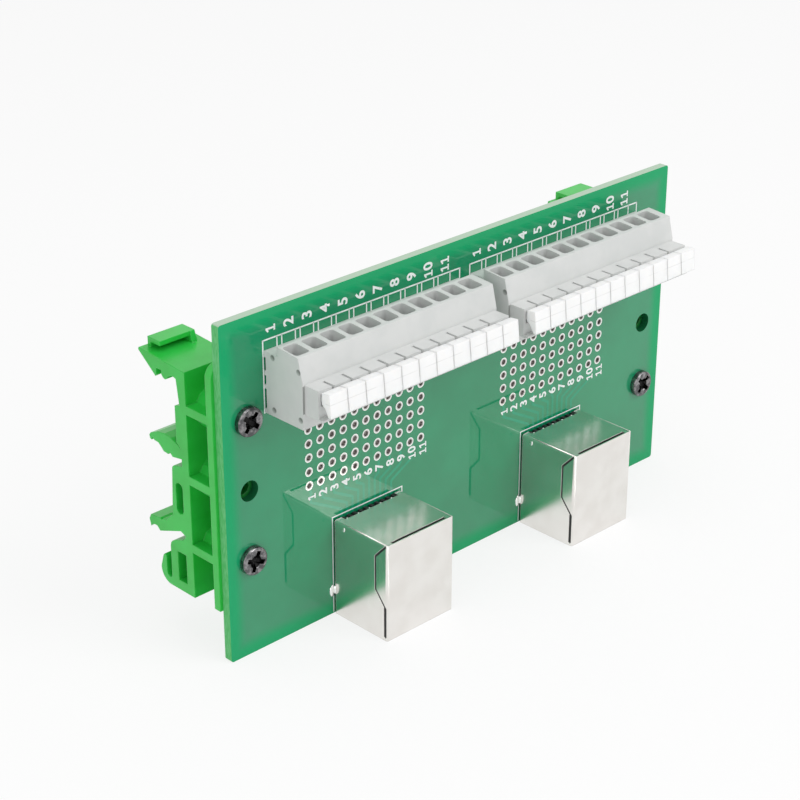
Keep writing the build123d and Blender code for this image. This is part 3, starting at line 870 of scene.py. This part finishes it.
for side, centre in SIDES:
    joints = copy_to(
        solder_joint(0.85, 0.9, f"pin_solder_{side}"), [on_back(centre + x, PIN_Z) for x in CELLS]
    )
    joints += copy_to(
        solder_joint(0.6, 0.7, f"jack_solder_{side}"),
        [
            on_back(centre + x, JACK_PIN_ROW - JACK_ROW_STEP * (place % 2))
            for place, x in enumerate(JACK_PLACES)
        ],
    )
    joints += copy_to(
        solder_joint(1.1, 0.8, f"leg_solder_{side}"),
        [on_back(centre + x, LEG_Z) for x in (-7.525, 7.525)],
    )
    hand_over(join(joints, f"solder_back_{side}"), TIN)

    # Solder that wells up round the shield's legs on the front
    lobes = [
        bead(
            place_of(centre + direction * aside, distance, JACK_BOTTOM + height),
            size,
            turn=(0, 0.25 * direction * (aside - 7.9), 0),
            segments=20,
            rings=12,
        )
        for direction in (-1, 1)
        for aside, distance, height, size in LOBES
    ]
    hand_over(join(lobes, f"leg_solder_front_{side}"), TIN)


# Screws


HEAD_RADIUS = 2.5
HEAD_HEIGHT = 1.15
SHANK_LENGTH = 7.0


def screw_head(name):
    """Pan head with a cross recess, on the board's face at the origin, facing -Y."""
    clear_selection()
    bpy.ops.mesh.primitive_cylinder_add(
        vertices=48,
        radius=HEAD_RADIUS * MM,
        depth=HEAD_HEIGHT * MM,
        rotation=(math.pi / 2, 0, 0),
        location=(0, -HEAD_HEIGHT / 2 * MM, 0),
    )
    head = bpy.context.active_object
    head.name = name
    apply_place(head)
    bpy.ops.object.mode_set(mode="EDIT")
    bpy.ops.mesh.select_mode(type="EDGE")
    bpy.ops.mesh.select_all(action="DESELECT")
    bpy.ops.object.mode_set(mode="OBJECT")
    for edge in head.data.edges:
        depths = [head.data.vertices[end].co.y for end in edge.vertices]
        edge.select = max(depths) < (0.05 - HEAD_HEIGHT) * MM
    bpy.ops.object.mode_set(mode="EDIT")
    bpy.ops.mesh.bevel(offset=0.45 * MM, segments=5, affect="EDGES")
    bpy.ops.object.mode_set(mode="OBJECT")
    tools = []
    for turn in (0, math.pi / 2):
        clear_selection()
        bpy.ops.mesh.primitive_cube_add(size=1, location=(0, -1.3 * MM, 0), rotation=(0, turn, 0))
        arm = bpy.context.active_object
        arm.scale = (3.7 * MM, 2.0 * MM, 0.8 * MM)
        apply_place(arm)
        tools.append(arm)
    clear_selection()
    bpy.ops.mesh.primitive_cone_add(
        vertices=24,
        radius1=1.35 * MM,
        radius2=0.5 * MM,
        depth=1.3 * MM,
        rotation=(-math.pi / 2, 0, 0),
        location=(0, -0.7 * MM, 0),
    )
    centre_cut = bpy.context.active_object
    apply_place(centre_cut)
    tools.append(centre_cut)
    cut(head, tools)
    bevel(head, 0.05, 2, angle=40)
    select_only(head)
    bpy.ops.object.shade_smooth_by_angle(angle=math.radians(35))
    # Shank behind the board, in the foot's boss
    clear_selection()
    bpy.ops.mesh.primitive_cylinder_add(
        vertices=20,
        radius=1.2 * MM,
        depth=SHANK_LENGTH * MM,
        rotation=(math.pi / 2, 0, 0),
        location=(0, SHANK_LENGTH / 2 * MM, 0),
    )
    shank = bpy.context.active_object
    apply_place(shank)
    return join([head, shank], name)


pattern = screw_head("screw_pattern")
for node, aside, above, turn in (
    ("screw_left_top", -1, 1, 0.7),
    ("screw_left_bottom", -1, -1, 0.35),
    ("screw_right_top", 1, 1, 0.55),
    ("screw_right_bottom", 1, -1, 0.8),
):
    screw = pattern.copy()
    screw.data = pattern.data.copy()
    screw.name = f"{node}_head"
    bpy.context.collection.objects.link(screw)
    screw.rotation_euler = (0, turn, 0)
    screw.location = place_of(aside * SCREW_X, 0, BOARD_Z + above * SCREW_Z)
    hand_over(screw, FINISHES["screw"])
    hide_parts(node)
bpy.data.objects.remove(pattern)


# Studio


FLOOR_Z = JACK_BOTTOM - 0.02
FLOOR_WHITE = 0.8
WORLD_STRENGTH = 0.56
CAMERA_PLACE = (-229.565, -235.725, 152.096)
CAMERA_AIM = (0.62715, 0.64816, -0.43194)
CAMERA_LENS = 92.173


def lay_floor():
    """Pale floor that is white to the eye and in mirrors, and still takes the shadow."""
    clear_selection()
    bpy.ops.mesh.primitive_plane_add(size=6.0, location=(0, 0, FLOOR_Z * MM))
    floor = bpy.context.active_object
    floor.name = "floor"
    apply_place(floor)
    finish = Finish("studio_floor", Roughness=0.9, Specular_IOR_Level=0.1)
    finish.set("Base Color", (0.95, 0.95, 0.95))
    white = finish.node("ShaderNodeEmission", {}, {"Color": (1.0, 1.0, 1.0), "Strength": 1.0})
    seen = finish.node("ShaderNodeLightPath", {}, {}).outputs
    watched = Value(finish, seen["Is Camera Ray"])
    for kind in ("Is Glossy Ray", "Is Transmission Ray"):
        watched = watched.either(Value(finish, seen[kind]))
    blend = finish.node(
        "ShaderNodeMixShader",
        {},
        {0: FLOOR_WHITE * watched, 1: finish.shader.outputs[0], 2: white.outputs[0]},
    )
    finish.links.new(blend.outputs[0], finish.nodes["Material Output"].inputs["Surface"])
    floor.data.materials.append(finish.material)


def light_world():
    """Even light all round, at full white for the eye and in mirrors."""
    world = bpy.data.worlds.new("studio_air")
    bpy.context.scene.world = world
    world.use_nodes = True
    nodes, links = world.node_tree.nodes, world.node_tree.links
    sky = nodes["Background"]
    seen = nodes.new("ShaderNodeBackground")
    for background, strength in ((sky, WORLD_STRENGTH), (seen, 1.0)):
        background.inputs["Color"].default_value = (1, 1, 1, 1)
        background.inputs["Strength"].default_value = strength
    rays = nodes.new("ShaderNodeLightPath").outputs
    watched = rays["Is Camera Ray"]
    for kind in ("Is Glossy Ray", "Is Transmission Ray"):
        either = nodes.new("ShaderNodeMath")
        either.operation = "MAXIMUM"
        links.new(watched, either.inputs[0])
        links.new(rays[kind], either.inputs[1])
        watched = either.outputs[0]
    blend = nodes.new("ShaderNodeMixShader")
    links.new(watched, blend.inputs[0])
    links.new(sky.outputs[0], blend.inputs[1])
    links.new(seen.outputs[0], blend.inputs[2])
    links.new(blend.outputs[0], nodes["World Output"].inputs["Surface"])


def lamp(name, place, size, watts):
    """Round softbox that faces the object, its place and size in metres."""
    clear_selection()
    bpy.ops.object.light_add(type="AREA", location=place)
    light = bpy.context.active_object
    light.name = name
    light.data.shape = "DISK"
    light.data.size = size
    light.data.energy = watts
    light.rotation_mode = "QUATERNION"
    light.rotation_quaternion = (-Vector(place)).to_track_quat("-Z", "Y")


lay_floor()
lamp("key_softbox", (0.25, -0.55, 0.5), 0.5, 2.0)
lamp("fill_softbox", (-0.6, -0.25, 0.25), 0.6, 0.7)
lamp("top_softbox", (-0.05, -0.05, 0.7), 0.5, 0.9)
light_world()

scene = bpy.context.scene
scene.view_settings.view_transform = "Standard"

clear_selection()
bpy.ops.object.camera_add(location=[value * MM for value in CAMERA_PLACE])
camera = bpy.context.active_object
camera.name = "camera"
camera.data.lens = CAMERA_LENS
camera.data.sensor_width = 36.0
camera.data.clip_start = 0.01
camera.data.clip_end = 20.0
camera.rotation_mode = "QUATERNION"
camera.rotation_quaternion = Vector(CAMERA_AIM).to_track_quat("-Z", "Y")
scene.camera = camera
